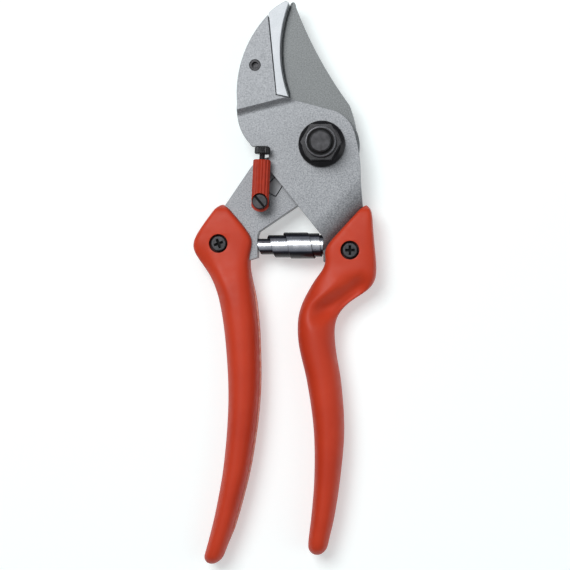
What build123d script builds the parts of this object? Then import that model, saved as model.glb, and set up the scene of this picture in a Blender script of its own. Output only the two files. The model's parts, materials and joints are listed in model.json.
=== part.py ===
"""Anvil pruning shears, lying on their back, closed and locked.

Frame: X to the right grip, Y to the blade tip, Z up from the surface that the shears lie on.
The origin is on the main pivot's axis, on that surface. Millimetres.

The anvil arm carries the right grip and crosses in front of the blade arm, which carries the left grip.
The blade lies between them and closes onto a soft anvil strip let into the anvil arm's jaw.
"""

import os
from math import copysign, cos, pi, radians, sin

from build123d import *

# ---------------------------------------------------------------- levels, from the table up
ARM_BACK = 3.2          # back face of the blade arm, on the bolt's head
BLADE_BACK = 8.0        # floor of the blade's seat in the blade arm
BLADE_FRONT = 11.0      # front faces of the blade and the blade arm
PLATE_BACK = 11.1       # the anvil arm's plate runs 0.1 in front of the blade
PLATE_FRONT = 14.4
JAW_BACK = 2.8          # the jaw is centred on the blade's thickness
JAW_FRONT = 16.2
TANG_BACK = 4.4         # the anvil arm's tang, inside the right grip
TANG_FRONT = 11.0
BLADE_MID = (BLADE_BACK + BLADE_FRONT) / 2
PAST = 20.0             # cuts that must run right through go at least this far

# ---------------------------------------------------------------- pivot
BOLT_R = 4.0            # M8 pivot bolt
BUSH_R = 5.5            # bronze bush pressed into the anvil arm
FIT = 0.05              # running clearance
SNUG = 0.02             # clearance of a bolt in its hole
HEAD_R = 7.2            # bolt head
NUT_FLANGE_R = 8.65
NUT_ACROSS_FLATS = 13.0
NUT_COLLAR_R = 5.7
NUT_TOP = 24.8
BOLT_TOP = 26.0
NUT_FLANGE_RIM = 1.1    # height of the flange's upright rim
NUT_FLANGE_CONE = 0.75
NUT_RING_DEEP = 1.5     # depth of the locking ring's groove in the nut

# ---------------------------------------------------------------- cutting edge and anvil
CUT_R = 49.0            # the blade's edge is one arc, and the anvil's face is the same arc 0.15 further out
CUT_CENTRE = (33.7, 34.8)
CUT_GAP = 0.15
JAW_TIP = (-19.9, 47.9)
JAW_HEEL = (-16.9, 18.2)     # lower end of the jaw's straight inner edge
RIVET = (-24.7, 29.3)
RIVET_R = 1.6
RIVET_HEAD_R = 2.0
BEVEL = 0.9             # ground bevel of the cutting edge, across the blade's face

# ---------------------------------------------------------------- lock
LOCK_PIVOT = (-22.6, -21.5)
LOCK_TILT = 2.6         # degrees from +Y towards +X
SLEEVE_R = 3.3
SLEEVE_BOTTOM = -3.7    # distances along the sleeve from its pivot
SLEEVE_TOP = 15.5
SCREW_START = 5.0       # inner end of the thumb screw
SCREW_UNDER = 17.6      # underside of the thumb screw's head
SCREW_OVER = 20.3
THUMB_R = 2.9
THUMB_SHANK_R = 1.1
FLUTES = 14
FLUTE_R = 0.62
KNURLS = 20
SPACER_R = 3.1
LOCK_LEVEL = PLATE_FRONT + 0.35 + SLEEVE_R     # the sleeve swings 0.35 clear of the plate
LOCK_SCREW_R = 1.5
LOCK_HEAD_R = 2.75
LOCK_SCREW_DEEP = 6.0   # length of the pivot screw in the blade arm
HEAD_RECESS = LOCK_LEVEL - 0.4     # floor of the round cut-out for the screw's head
LOCK_HEAD_TOP = LOCK_LEVEL + 2.2
SLOT_WIDE = 0.8
SLOT_DEEP = 1.0
SLOT_TURN = -50         # degrees from +X
NOTCH_TOP = -0.6        # the plate's edge above the thumb screw's head
NOTCH_SIDE = -19.7

# ---------------------------------------------------------------- spring
SPRING_Y = -37.3
SPRING_Z = 8.2
SPRING_LEFT = -24.2     # faces of the two spring seats
SPRING_RIGHT = 0.4
SPRING_WALL = 0.9
PEG_R = 1.9
PEG_LENGTH = 4.0
# one (from, to, radius) for each visible turn
SPRING_TURNS = [
    (-24.1, -19.0, 3.5),
    (-19.0, -12.8, 4.3),
    (-12.8, -3.9, 5.1),
    (-3.9, -0.7, 4.2),
    (-0.7, 0.35, 3.2),
]

# ---------------------------------------------------------------- grips and their screws
GRIP_SCREWS = {"left": (-38.5, -36.7), "right": (10.4, -39.3)}
GRIP_SCREW_R = 1.6
GRIP_HOLE_R = 1.75
GRIP_HEAD_R = 2.9
GRIP_HEAD_TALL = 1.9
GRIP_RECESS_R = 3.5
RECESS_FLOOR = {"left": 12.0, "right": 12.6}
PARTING = 10.0          # the front and back shells of a grip meet at this height
SCREW_TIP = 2.4
CROSS_LONG = 3.5        # the screws' cross recesses
CROSS_WIDE = 0.9
CROSS_DEEP = 1.3
CROSS_TURN = {"left": 20, "right": 0}

# one row for each section across a grip: y, left edge, right edge, back, front, squareness
LEFT_GRIP = [
    (-21.9, -38.9, -36.0, 2.4, 12.6, 4.0),
    (-23.6, -40.2, -34.9, 1.4, 13.8, 4.8),
    (-26.5, -42.3, -32.3, 0.8, 14.4, 5.2),
    (-29.5, -44.5, -29.8, 0.5, 14.7, 5.4),
    (-32.5, -46.5, -27.5, 0.2, 14.8, 5.4),
    (-36.0, -48.2, -26.2, 0.0, 14.8, 5.2),
    (-39.6, -48.0, -26.1, -0.3, 14.8, 4.6),
    (-44.8, -44.4, -26.9, -0.4, 15.4, 3.6),
    (-50.4, -41.1, -26.1, -0.4, 16.4, 2.9),
    (-58.0, -38.6, -25.0, -0.4, 17.4, 2.5),
    (-72.0, -36.4, -23.7, -0.4, 18.0, 2.3),
    (-94.0, -35.2, -23.7, -0.4, 18.0, 2.2),
    (-118.0, -36.8, -26.8, -0.4, 17.6, 2.2),
    (-136.0, -39.9, -31.2, -0.2, 16.6, 2.2),
    (-148.0, -42.8, -35.0, 1.2, 15.4, 2.2),
    (-153.5, -44.2, -37.1, 3.0, 13.6, 2.2),
    (-156.5, -43.2, -39.4, 6.0, 10.6, 2.0),
]
RIGHT_GRIP = [
    (-22.4, 15.3, 17.3, 2.6, 13.6, 3.6),
    (-24.4, 13.6, 18.3, 1.6, 14.8, 4.6),
    (-27.5, 10.7, 18.6, 1.0, 15.4, 5.0),
    (-31.0, 7.5, 18.8, 0.6, 15.6, 5.2),
    (-35.6, 3.3, 19.2, 0.0, 15.8, 5.2),
    (-39.6, 1.2, 19.6, -0.3, 15.8, 5.0),
    (-44.8, 1.1, 20.0, -0.4, 15.8, 4.4),
    (-50.2, -2.8, 19.6, -0.4, 16.4, 3.4),
    (-54.2, -5.2, 16.8, -0.4, 17.0, 2.8),
    (-58.4, -7.4, 10.0, -0.4, 17.6, 2.5),
    (-64.6, -9.1, 5.2, -0.4, 18.0, 2.4),
    (-74.0, -8.9, 4.7, -0.4, 18.0, 2.3),
    (-88.0, -5.8, 6.9, -0.4, 18.0, 2.2),
    (-106.0, -3.3, 8.1, -0.4, 17.8, 2.2),
    (-124.0, -3.1, 6.6, -0.4, 17.2, 2.2),
    (-139.0, -4.3, 4.3, 0.0, 16.2, 2.2),
    (-147.0, -5.3, 2.4, 1.6, 15.0, 2.2),
    (-150.8, -5.0, 1.2, 3.2, 13.6, 2.2),
    (-152.7, -3.6, -0.6, 6.4, 10.6, 2.0),
]

os.makedirs("parts", exist_ok=True)


def save(part, name):
    """Labels a finished piece and writes its STEP file."""
    part.label = name
    export_step(part, f"parts/{name}.step")
    print(f"{name}: {len(part.solids())} solid(s), {part.volume:.1f} mm3")


def cut_point(y, outward=0.0):
    """The point of the cutting arc, or of one that much further out, at that y."""
    radius = CUT_R + outward
    return (CUT_CENTRE[0] - (radius ** 2 - (y - CUT_CENTRE[1]) ** 2) ** 0.5, y)


def level(z):
    """The horizontal plane at height z."""
    return Plane.XY.offset(z)


def edge_on(angle, x=0.0, y=0.0):
    """A vertical plane through (x, y): its own x runs level at that angle from +X, and its own y runs up."""
    along = (cos(radians(angle)), sin(radians(angle)), 0)
    return Plane(origin=(x, y, 0), x_dir=along, z_dir=(sin(radians(angle)), -cos(radians(angle)), 0))


def lock_level(z):
    """The horizontal plane at height z on the lock's pivot, with its own y along the sleeve."""
    turned = radians(LOCK_TILT)
    return Plane(origin=(*LOCK_PIVOT, z), x_dir=(cos(turned), -sin(turned), 0), z_dir=(0, 0, 1))


def lock_across(distance):
    """The plane square to the sleeve's axis, that far along it."""
    turned = radians(LOCK_TILT)
    along = (sin(turned), cos(turned), 0)
    at = (LOCK_PIVOT[0] + distance * along[0], LOCK_PIVOT[1] + distance * along[1], LOCK_LEVEL)
    return Plane(origin=at, x_dir=(0, 0, 1), z_dir=along)


# ================================================================ anvil arm: jaw, plate and right tang
JAW_ANGLE = 13.7        # the step between plate and jaw runs this much off the X axis
TANG_ANGLE = -44.3      # direction in which the plate steps down into the right grip
STEP_JAW = 19.35        # distances from the pivot to those two steps
STEP_TANG = 27.8
TANG_RAMP = 10.0        # length of the step into the grip
OPEN_STOP = 12.2        # the jaw's thick part starts here, and the blade arm meets it when fully open

with BuildPart() as jaw_step:
    with BuildSketch(edge_on(90 + JAW_ANGLE)):
        with BuildLine():
            Polyline((STEP_JAW + 0.6, JAW_FRONT + 1), (STEP_JAW + 0.6, JAW_FRONT))
            Spline((STEP_JAW + 0.6, JAW_FRONT), (STEP_JAW - 2.0, PLATE_FRONT),
                   tangents=[(-1, -0.7), (-1, 0)])
            Polyline((STEP_JAW - 2.0, PLATE_FRONT), (-80, PLATE_FRONT), (-80, JAW_FRONT + 1),
                     (STEP_JAW + 0.6, JAW_FRONT + 1))
        make_face()
    extrude(amount=70, both=True)

with BuildPart() as tang_step:
    with BuildSketch(edge_on(TANG_ANGLE)):
        with BuildLine():
            Spline((STEP_TANG - TANG_RAMP, PLATE_FRONT), (STEP_TANG, TANG_FRONT),
                   tangents=[(1, 0), (1, -0.8)])
            Polyline((STEP_TANG, TANG_FRONT), (200, TANG_FRONT), (200, PLATE_FRONT + 2),
                     (STEP_TANG - TANG_RAMP, PLATE_FRONT + 2), (STEP_TANG - TANG_RAMP, PLATE_FRONT))
        make_face()
    extrude(amount=200, both=True)

with BuildPart() as under_plate:
    with BuildSketch(edge_on(TANG_ANGLE)):
        with BuildLine():
            Polyline((-80, -1), (-80, PLATE_BACK), (STEP_TANG - TANG_RAMP, PLATE_BACK),
                     (STEP_TANG, TANG_BACK), (STEP_TANG + 200, TANG_BACK), (STEP_TANG + 200, -1), close=True)
        make_face()
    extrude(amount=200, both=True)
    with BuildSketch(level(-1)):
        with BuildLine():
            Polyline((-60, -60 * sin(radians(JAW_ANGLE)) + OPEN_STOP + 1.9), (-16.1, OPEN_STOP - 3.3),
                     JAW_HEEL, JAW_TIP, (-19.9, 60), (-60, 60), close=True)
        make_face()
    extrude(amount=PAST, mode=Mode.SUBTRACT)

with BuildPart() as anvil_arm:
    with BuildSketch(level(JAW_BACK)):
        with BuildLine():
            ThreePointArc(JAW_TIP, (-27.7, 36.4), (-31.3, 15.0))
            ThreePointArc((-31.3, 15.0), (-30.3, 6.0), (-26.8, 0.4))
            ThreePointArc((-26.8, 0.4), (-26.3, -0.3), (-25.7, NOTCH_TOP))
            Line((-25.7, NOTCH_TOP), (NOTCH_SIDE - 0.8, NOTCH_TOP))
            ThreePointArc((NOTCH_SIDE - 0.8, NOTCH_TOP), (NOTCH_SIDE - 0.23, NOTCH_TOP - 0.23),
                          (NOTCH_SIDE, NOTCH_TOP - 0.8))
            Polyline((NOTCH_SIDE, NOTCH_TOP - 0.8), (NOTCH_SIDE, -9.2), (SPRING_RIGHT, -34.4),
                     (SPRING_RIGHT, -43.4), (3.4, -44.6))
            Spline((3.4, -44.6), (-2.2, -58.0), (-5.3, -70.0), (-2.4, -88.0), (0.6, -108.0), (0.6, -122.0))
            ThreePointArc((0.6, -122.0), (2.4, -123.8), (4.2, -122.0))
            Spline((4.2, -122.0), (4.4, -108.0), (2.8, -88.0), (0.6, -70.0), (4.4, -58.0), (14.0, -46.0))
            Polyline((14.0, -46.0), (15.6, -40.0), (15.0, -22.8), (14.3, -13.2))
            ThreePointArc((14.3, -13.2), (13.9, -4.5), (12.4, 3.4))
            ThreePointArc((12.4, 3.4), (8.9, 9.7), (2.6, 13.0))
            Line((2.6, 13.0), (-12.5, 17.1))
            Polyline((-12.5, 17.1), JAW_HEEL, JAW_TIP)
        make_face()
    extrude(amount=JAW_FRONT - JAW_BACK)
    add(jaw_step.part, mode=Mode.SUBTRACT)
    add(tang_step.part, mode=Mode.SUBTRACT)
    add(under_plate.part, mode=Mode.SUBTRACT)
    # slot in the jaw's inner edge for the anvil's tongue
    with BuildSketch(level(BLADE_MID - 1.6)):
        with BuildLine():
            Polyline((-27.3, 24.8), (-26.9, 34.2), (-18.0, 34.2), (-16.6, 24.8), close=True)
        make_face()
    extrude(amount=3.2, mode=Mode.SUBTRACT)
    with Locations((*RIVET, JAW_FRONT)):
        CounterBoreHole(RIVET_R, RIVET_HEAD_R + 0.1, 0.9)
    with Locations((*RIVET, JAW_BACK)):
        Cylinder(RIVET_HEAD_R + 0.1, 0.9, align=(Align.CENTER, Align.CENTER, Align.MIN), mode=Mode.SUBTRACT)
    with Locations((0, 0, PLATE_FRONT)):
        Hole(BUSH_R)
    with Locations((*GRIP_SCREWS["right"], TANG_FRONT)):
        Hole(GRIP_HOLE_R)
    # peg that centres the spring
    with BuildSketch(Plane.YZ.offset(SPRING_RIGHT)):
        with Locations((SPRING_Y, SPRING_Z)):
            Circle(PEG_R)
    extrude(amount=-PEG_LENGTH)
save(anvil_arm.part, "anvil_arm")

# ================================================================ anvil strip and its rivet
with BuildPart() as anvil_strip:
    with BuildSketch(level(JAW_BACK + 0.7)):
        with BuildLine():
            ThreePointArc(cut_point(52.5, CUT_GAP), cut_point(CUT_CENTRE[1], CUT_GAP),
                          cut_point(17.5, CUT_GAP))
            Polyline(cut_point(17.5, CUT_GAP), (-16.75, 18.45), (-19.62, 47.9), (-19.5, 48.9))
            ThreePointArc((-19.5, 48.9), (-16.4, 51.4), (-13.3, 53.2))
            Line((-13.3, 53.2), cut_point(52.5, CUT_GAP))
        make_face()
    extrude(amount=JAW_FRONT - JAW_BACK - 1.4)
    with BuildSketch(level(BLADE_MID - 1.5)):
        with BuildLine():
            Polyline((-27.2, 24.9), (-26.8, 34.1), (-18.0, 34.1), (-16.6, 24.9), close=True)
        make_face()
    extrude(amount=3.0)
    with Locations((*RIVET, JAW_FRONT)):
        Hole(RIVET_R)
save(anvil_strip.part, "anvil_strip")

with BuildPart() as anvil_rivet:
    with BuildSketch(Plane(origin=(*RIVET, 0), x_dir=(1, 0, 0), z_dir=(0, -1, 0))):
        with BuildLine():
            Polyline((0, JAW_BACK + 0.1), (RIVET_HEAD_R, JAW_BACK + 0.1), (RIVET_HEAD_R, JAW_BACK + 0.6),
                     (RIVET_R, JAW_BACK + 0.9), (RIVET_R, JAW_FRONT - 0.9), (RIVET_HEAD_R, JAW_FRONT - 0.6),
                     (RIVET_HEAD_R, JAW_FRONT - 0.1), (1.2, JAW_FRONT - 0.1), (1.2, JAW_FRONT - 1.6),
                     (0, JAW_FRONT - 1.6), close=True)
        make_face()
    revolve(axis=Axis((*RIVET, 0), (0, 0, 1)))
save(anvil_rivet.part, "anvil_rivet")

# ================================================================ pivot: bush, thrust washer, bolt, nut
with BuildPart() as pivot_bush:
    with BuildSketch(level(PLATE_BACK)):
        Circle(BUSH_R)
        Circle(BOLT_R + FIT, mode=Mode.SUBTRACT)
    extrude(amount=PLATE_FRONT - PLATE_BACK)
    chamfer(pivot_bush.edges().filter_by(GeomType.CIRCLE).sort_by(SortBy.RADIUS)[:2], 0.3)
save(pivot_bush.part, "pivot_bush")

with BuildPart() as pivot_bolt:
    with BuildSketch(level(0)):
        Circle(HEAD_R)
    extrude(amount=ARM_BACK)
    chamfer(pivot_bolt.edges().group_by(Axis.Z)[0], 1.2)
    with BuildSketch(level(ARM_BACK)):
        Rectangle(2 * BOLT_R, 2 * BOLT_R)
    extrude(amount=BLADE_BACK - ARM_BACK - 0.3)
    with BuildSketch(level(ARM_BACK)):
        Circle(BOLT_R)
    extrude(amount=BOLT_TOP - ARM_BACK)
    chamfer(pivot_bolt.edges().group_by(Axis.Z)[-1], 0.5)
save(pivot_bolt.part, "pivot_bolt")

with BuildPart() as pivot_nut:
    with BuildSketch(level(PLATE_FRONT + FIT)):
        Circle(NUT_FLANGE_R)
    extrude(amount=NUT_FLANGE_RIM)
    with BuildSketch(level(PLATE_FRONT + FIT + NUT_FLANGE_RIM)):
        Circle(NUT_FLANGE_R - 0.15)
    extrude(amount=NUT_FLANGE_CONE, taper=60)
    with BuildSketch(level(PLATE_FRONT + FIT)):
        RegularPolygon(NUT_ACROSS_FLATS / 2, 6, major_radius=False)
    extrude(amount=NUT_TOP - 1.6 - PLATE_FRONT)
    with BuildSketch(level(NUT_TOP - 2.0)):
        Circle(NUT_COLLAR_R)
    extrude(amount=2.0)
    fillet(pivot_nut.edges().group_by(Axis.Z)[-1], 0.45)
    with Locations((0, 0, NUT_TOP)):
        CounterBoreHole(BOLT_R + SNUG, NUT_COLLAR_R - 0.75, NUT_RING_DEEP)
save(pivot_nut.part, "pivot_nut")

with BuildPart() as nut_lock_ring:
    with BuildSketch(level(NUT_TOP - NUT_RING_DEEP)):
        Circle(NUT_COLLAR_R - 0.8)
        Circle(BOLT_R + SNUG, mode=Mode.SUBTRACT)
    extrude(amount=NUT_RING_DEEP - 0.3)
save(nut_lock_ring.part, "nut_lock_ring")

# ================================================================ blade arm: hub and left tang
SEAT_GAP = 0.3          # the blade's tail lies in its seat with this gap all round
TAIL = [(-12.6, -4.0), (-17.4, -11.7), (-20.2, -14.6), (-19.6, -17.8), (-17.4, -18.9), (-16.3, -17.2),
        (-14.8, -14.8), (-6.6, -11.5)]
DOWEL = (-9.4, -9.4)    # dowel that keys the blade to its arm, under the plate
DOWEL_R = 1.6
with BuildPart() as blade:
    with BuildSketch(level(BLADE_BACK)):
        with BuildLine():
            ThreePointArc(cut_point(52.9), cut_point(CUT_CENTRE[1]), cut_point(17.2))
            Line(cut_point(17.2), (-13.25, 1.2))
            ThreePointArc((-13.25, 1.2), (-13.2, -1.5), TAIL[0])
            Polyline(*TAIL)
            ThreePointArc(TAIL[-1], (8.6, -10.15), (13.0, 2.8))
            ThreePointArc((13.0, 2.8), (11.9, 9.3), (10.1, 14.8))
            ThreePointArc((10.1, 14.8), (-1.3, 32.9), (-10.0, 52.1))
            ThreePointArc((-10.0, 52.1), (-11.0, 53.4), cut_point(52.9))
        make_face()
    extrude(amount=BLADE_FRONT - BLADE_BACK)
    edge_arcs = blade.edges().filter_by(GeomType.CIRCLE).filter_by(lambda e: abs(e.radius - CUT_R) < 0.5)
    chamfer(edge_arcs, BEVEL)
    with Locations((0, 0, BLADE_FRONT)):
        Hole(BOLT_R + SNUG)
    with Locations((*DOWEL, BLADE_FRONT)):
        Hole(DOWEL_R)
save(blade.part, "blade")

with BuildPart() as blade_dowel:
    with BuildSketch(level(ARM_BACK + 0.2)):
        with Locations(DOWEL):
            Circle(DOWEL_R)
    extrude(amount=BLADE_FRONT - ARM_BACK - 0.3)
save(blade_dowel.part, "blade_dowel")

with BuildPart() as blade_arm:
    with BuildSketch(level(ARM_BACK)):
        with BuildLine():
            ThreePointArc((-13.0, 5.0), (11.5, 7.7), (4.6, -13.1))
            Line((4.6, -13.1), (-9.0, -22.3))
            Polyline((-9.0, -22.3), (-23.6, -32.0), (SPRING_LEFT, -33.6), (SPRING_LEFT, -41.8),
                     (-27.6, -42.8))
            Spline((-27.6, -42.8), (-28.4, -52.0), (-26.6, -72.0), (-26.4, -92.0), (-29.6, -116.0),
                   (-31.6, -126.0))
            ThreePointArc((-31.6, -126.0), (-33.6, -127.4), (-35.0, -125.2))
            Spline((-35.0, -125.2), (-33.2, -116.0), (-31.6, -92.0), (-32.6, -72.0), (-36.4, -54.0),
                   (-43.4, -42.0))
            Polyline((-43.4, -42.0), (-44.0, -36.0), (-36.4, -22.4), (-27.2, -8.9))
            ThreePointArc((-27.2, -8.9), (-24.0, -5.8), (-19.6, -4.4))
            Line((-19.6, -4.4), (-13.0, 5.0))
        make_face()
    extrude(amount=BLADE_FRONT - ARM_BACK)
    with BuildSketch(level(BLADE_BACK)):
        with BuildLine():
            Polyline(*TAIL)
            Polyline(TAIL[-1], (4, -30), (30, -30), (30, 40), (-30, 40), (-21, 0), TAIL[0])
        make_face()
        offset(amount=SEAT_GAP, kind=Kind.ARC)
    extrude(amount=5, mode=Mode.SUBTRACT)
    with Locations((0, 0, BLADE_BACK)):
        Box(2 * (BOLT_R + FIT), 2 * (BOLT_R + FIT), PAST, mode=Mode.SUBTRACT)
    with Locations((*LOCK_PIVOT, BLADE_FRONT)):
        Hole(LOCK_SCREW_R, depth=LOCK_SCREW_DEEP + 0.2)
    with Locations((*GRIP_SCREWS["left"], BLADE_FRONT)):
        Hole(GRIP_HOLE_R)
    with Locations((*DOWEL, BLADE_BACK)):
        Hole(DOWEL_R)
    with BuildSketch(Plane.YZ.offset(SPRING_LEFT)):
        with Locations((SPRING_Y, SPRING_Z)):
            Circle(PEG_R)
    extrude(amount=PEG_LENGTH)
save(blade_arm.part, "blade_arm")

# ================================================================ lock: spacer, sleeve and screws
with BuildPart() as lock_spacer:
    with BuildSketch(level(BLADE_FRONT)):
        with Locations(LOCK_PIVOT):
            Circle(SPACER_R)
            Circle(LOCK_SCREW_R, mode=Mode.SUBTRACT)
    extrude(amount=LOCK_LEVEL - SLEEVE_R - BLADE_FRONT)
save(lock_spacer.part, "lock_spacer")

with BuildPart() as lock_sleeve:
    with BuildSketch(lock_across(SLEEVE_BOTTOM)):
        Circle(SLEEVE_R)
        with PolarLocations(SLEEVE_R + 0.42, FLUTES):
            Circle(FLUTE_R, mode=Mode.SUBTRACT)
    extrude(amount=SLEEVE_TOP - SLEEVE_BOTTOM)
    chamfer(lock_sleeve.faces().sort_by(Axis.Y)[-1].edges(), 0.25)
    # thread for the thumb screw
    with BuildSketch(lock_across(SLEEVE_TOP)):
        Circle(THUMB_SHANK_R)
    extrude(amount=SCREW_START - 0.5 - SLEEVE_TOP, mode=Mode.SUBTRACT)
    # the lower end is round about the pivot
    with BuildSketch(lock_level(LOCK_LEVEL - SLEEVE_R)):
        with Locations((0, SLEEVE_BOTTOM)):
            Rectangle(4 * SLEEVE_R, -2 * SLEEVE_BOTTOM)
        Circle(-SLEEVE_BOTTOM, mode=Mode.SUBTRACT)
    extrude(amount=2 * SLEEVE_R, mode=Mode.SUBTRACT)
    # pivot hole, and the round cut-out for the pivot screw's head
    with BuildSketch(lock_level(LOCK_LEVEL - SLEEVE_R)):
        Circle(LOCK_SCREW_R + FIT)
    extrude(amount=2 * SLEEVE_R, mode=Mode.SUBTRACT)
    with BuildSketch(lock_level(HEAD_RECESS)):
        Circle(LOCK_HEAD_R + 0.3)
        with Locations((0, SLEEVE_BOTTOM)):
            Rectangle(4 * SLEEVE_R, -2 * SLEEVE_BOTTOM)
    extrude(amount=2 * SLEEVE_R, mode=Mode.SUBTRACT)
save(lock_sleeve.part, "lock_sleeve")

with BuildPart() as lock_screw:
    with BuildSketch(level(BLADE_FRONT - LOCK_SCREW_DEEP)):
        with Locations(LOCK_PIVOT):
            Circle(LOCK_SCREW_R)
    extrude(amount=LOCK_HEAD_TOP - BLADE_FRONT + LOCK_SCREW_DEEP)
    with BuildSketch(level(HEAD_RECESS + 0.1)):
        with Locations(LOCK_PIVOT):
            Circle(LOCK_HEAD_R)
    extrude(amount=LOCK_HEAD_TOP - HEAD_RECESS - 0.1)
    chamfer(lock_screw.edges().group_by(Axis.Z)[-1], 0.3)
    with BuildSketch(level(LOCK_HEAD_TOP)):
        with Locations(Location((*LOCK_PIVOT, 0), (0, 0, SLOT_TURN))):
            Rectangle(3 * LOCK_HEAD_R, SLOT_WIDE)
    extrude(amount=-SLOT_DEEP, mode=Mode.SUBTRACT)
save(lock_screw.part, "lock_screw")

with BuildPart() as lock_thumb_screw:
    with BuildSketch(lock_across(SCREW_START)):
        Circle(THUMB_SHANK_R)
    extrude(amount=SCREW_OVER - SCREW_START)
    with BuildSketch(lock_across(SCREW_UNDER)):
        Circle(THUMB_R)
        with PolarLocations(THUMB_R + 0.1, KNURLS):
            Circle(0.3, mode=Mode.SUBTRACT)
    extrude(amount=SCREW_OVER - SCREW_UNDER)
save(lock_thumb_screw.part, "lock_thumb_screw")

# ================================================================ double volute spring
with BuildPart() as volute_spring:
    for start, end, radius in SPRING_TURNS:
        with BuildSketch(Plane(origin=(start, SPRING_Y, SPRING_Z), x_dir=(0, 1, 0), z_dir=(1, 0, 0))):
            Circle(radius)
            Circle(radius - SPRING_WALL, mode=Mode.SUBTRACT)
        extrude(amount=end - start)
    # flanges that join each turn to the next, larger one
    for (start, _, radius), (_, _, other) in zip(SPRING_TURNS[1:], SPRING_TURNS):
        with BuildSketch(Plane(origin=(start, SPRING_Y, SPRING_Z), x_dir=(0, 1, 0), z_dir=(1, 0, 0))):
            Circle(max(radius, other))
            Circle(min(radius, other) - SPRING_WALL, mode=Mode.SUBTRACT)
        extrude(amount=0.4 * copysign(1, radius - other))
save(volute_spring.part, "volute_spring")


# ================================================================ grips
def section(y, left, right, back, front, squareness):
    """The points of a rounded, slightly square section across a grip."""
    middle = ((left + right) / 2, (back + front) / 2)
    half = ((right - left) / 2, (front - back) / 2)
    points = []
    for step in range(16):
        turn = 2 * pi * (step + 0.5) / 16
        across = copysign(abs(cos(turn)) ** (2 / squareness), cos(turn))
        up = copysign(abs(sin(turn)) ** (2 / squareness), sin(turn))
        points.append((middle[0] + half[0] * across, y, middle[1] + half[1] * up))
    return points


def smooth_rows(rows, spacing=5.0):
    """Evenly spaced rows on smooth curves through the given ones."""
    evenly = [rows[0]]
    count = round((rows[0][0] - rows[-1][0]) / spacing)
    place = 0
    for step in range(1, count):
        y = rows[0][0] + (rows[-1][0] - rows[0][0]) * step / count
        while rows[place + 1][0] > y:
            place += 1
        before, start, end, after = (rows[min(max(place + k, 0), len(rows) - 1)] for k in (-1, 0, 1, 2))
        part_way = (y - start[0]) / (end[0] - start[0])
        row = [y]
        for k in range(1, 6):
            slope_start = (end[k] - before[k]) / (end[0] - before[0]) * (end[0] - start[0])
            slope_end = (after[k] - start[k]) / (after[0] - start[0]) * (end[0] - start[0])
            t2 = part_way ** 2
            t3 = part_way ** 3
            row.append((2 * t3 - 3 * t2 + 1) * start[k] + (t3 - 2 * t2 + part_way) * slope_start
                       + (3 * t2 - 2 * t3) * end[k] + (t3 - t2) * slope_end)
        evenly.append(tuple(row))
    return evenly + [rows[-1]]


def save_grip(side, rows, arm):
    """Writes one grip as a front and a back shell, moulded round the arm's tang, with the screw's recess."""
    centre = GRIP_SCREWS[side]
    with BuildPart() as grip:
        for row in smooth_rows(rows):
            with BuildSketch(Plane(origin=(0, row[0], 0), x_dir=(1, 0, 0), z_dir=(0, -1, 0))):
                with BuildLine():
                    Spline([(x, z) for x, _, z in section(*row)], periodic=True)
                make_face()
        loft()
        # flat land that the shears lie on
        with BuildSketch(level(0)):
            Rectangle(200, 400)
        extrude(amount=-5, mode=Mode.SUBTRACT)
        add(arm.part, mode=Mode.SUBTRACT)
        bores = ((RECESS_FLOOR[side], GRIP_RECESS_R), (PARTING, GRIP_HOLE_R), (SCREW_TIP, GRIP_SCREW_R))
        for floor, radius in bores:
            with BuildSketch(level(floor)):
                with Locations(centre):
                    Circle(radius)
            extrude(amount=PAST, mode=Mode.SUBTRACT)
    for name, kept in (("front", Keep.TOP), ("back", Keep.BOTTOM)):
        with BuildPart() as shell:
            add(grip.part)
            split(bisect_by=level(PARTING), keep=kept)
        save(shell.part, f"{side}_grip_{name}")


def save_grip_screw(side):
    """Writes the cross-head screw that holds a grip's two shells on the tang."""
    centre = GRIP_SCREWS[side]
    under = RECESS_FLOOR[side]
    with BuildPart() as screw:
        with BuildSketch(level(SCREW_TIP)):
            with Locations(centre):
                Circle(GRIP_SCREW_R)
        extrude(amount=under - SCREW_TIP)
        with BuildSketch(level(under)):
            with Locations(centre):
                Circle(GRIP_HEAD_R)
        extrude(amount=GRIP_HEAD_TALL)
        fillet(screw.edges().group_by(Axis.Z)[-1], 0.5)
        with BuildSketch(level(under + GRIP_HEAD_TALL)):
            with Locations(Location((*centre, 0), (0, 0, CROSS_TURN[side]))):
                Rectangle(CROSS_LONG, CROSS_WIDE)
                Rectangle(CROSS_WIDE, CROSS_LONG)
        extrude(amount=-CROSS_DEEP, mode=Mode.SUBTRACT)
    save(screw.part, f"{side}_grip_screw")


for side, rows, arm in (("left", LEFT_GRIP, blade_arm), ("right", RIGHT_GRIP, anvil_arm)):
    save_grip(side, rows, arm)
    save_grip_screw(side)
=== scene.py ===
import bmesh
import bpy
import json
from math import cos, pi, radians, sin, tau

from mathutils import Matrix, Vector


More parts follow.
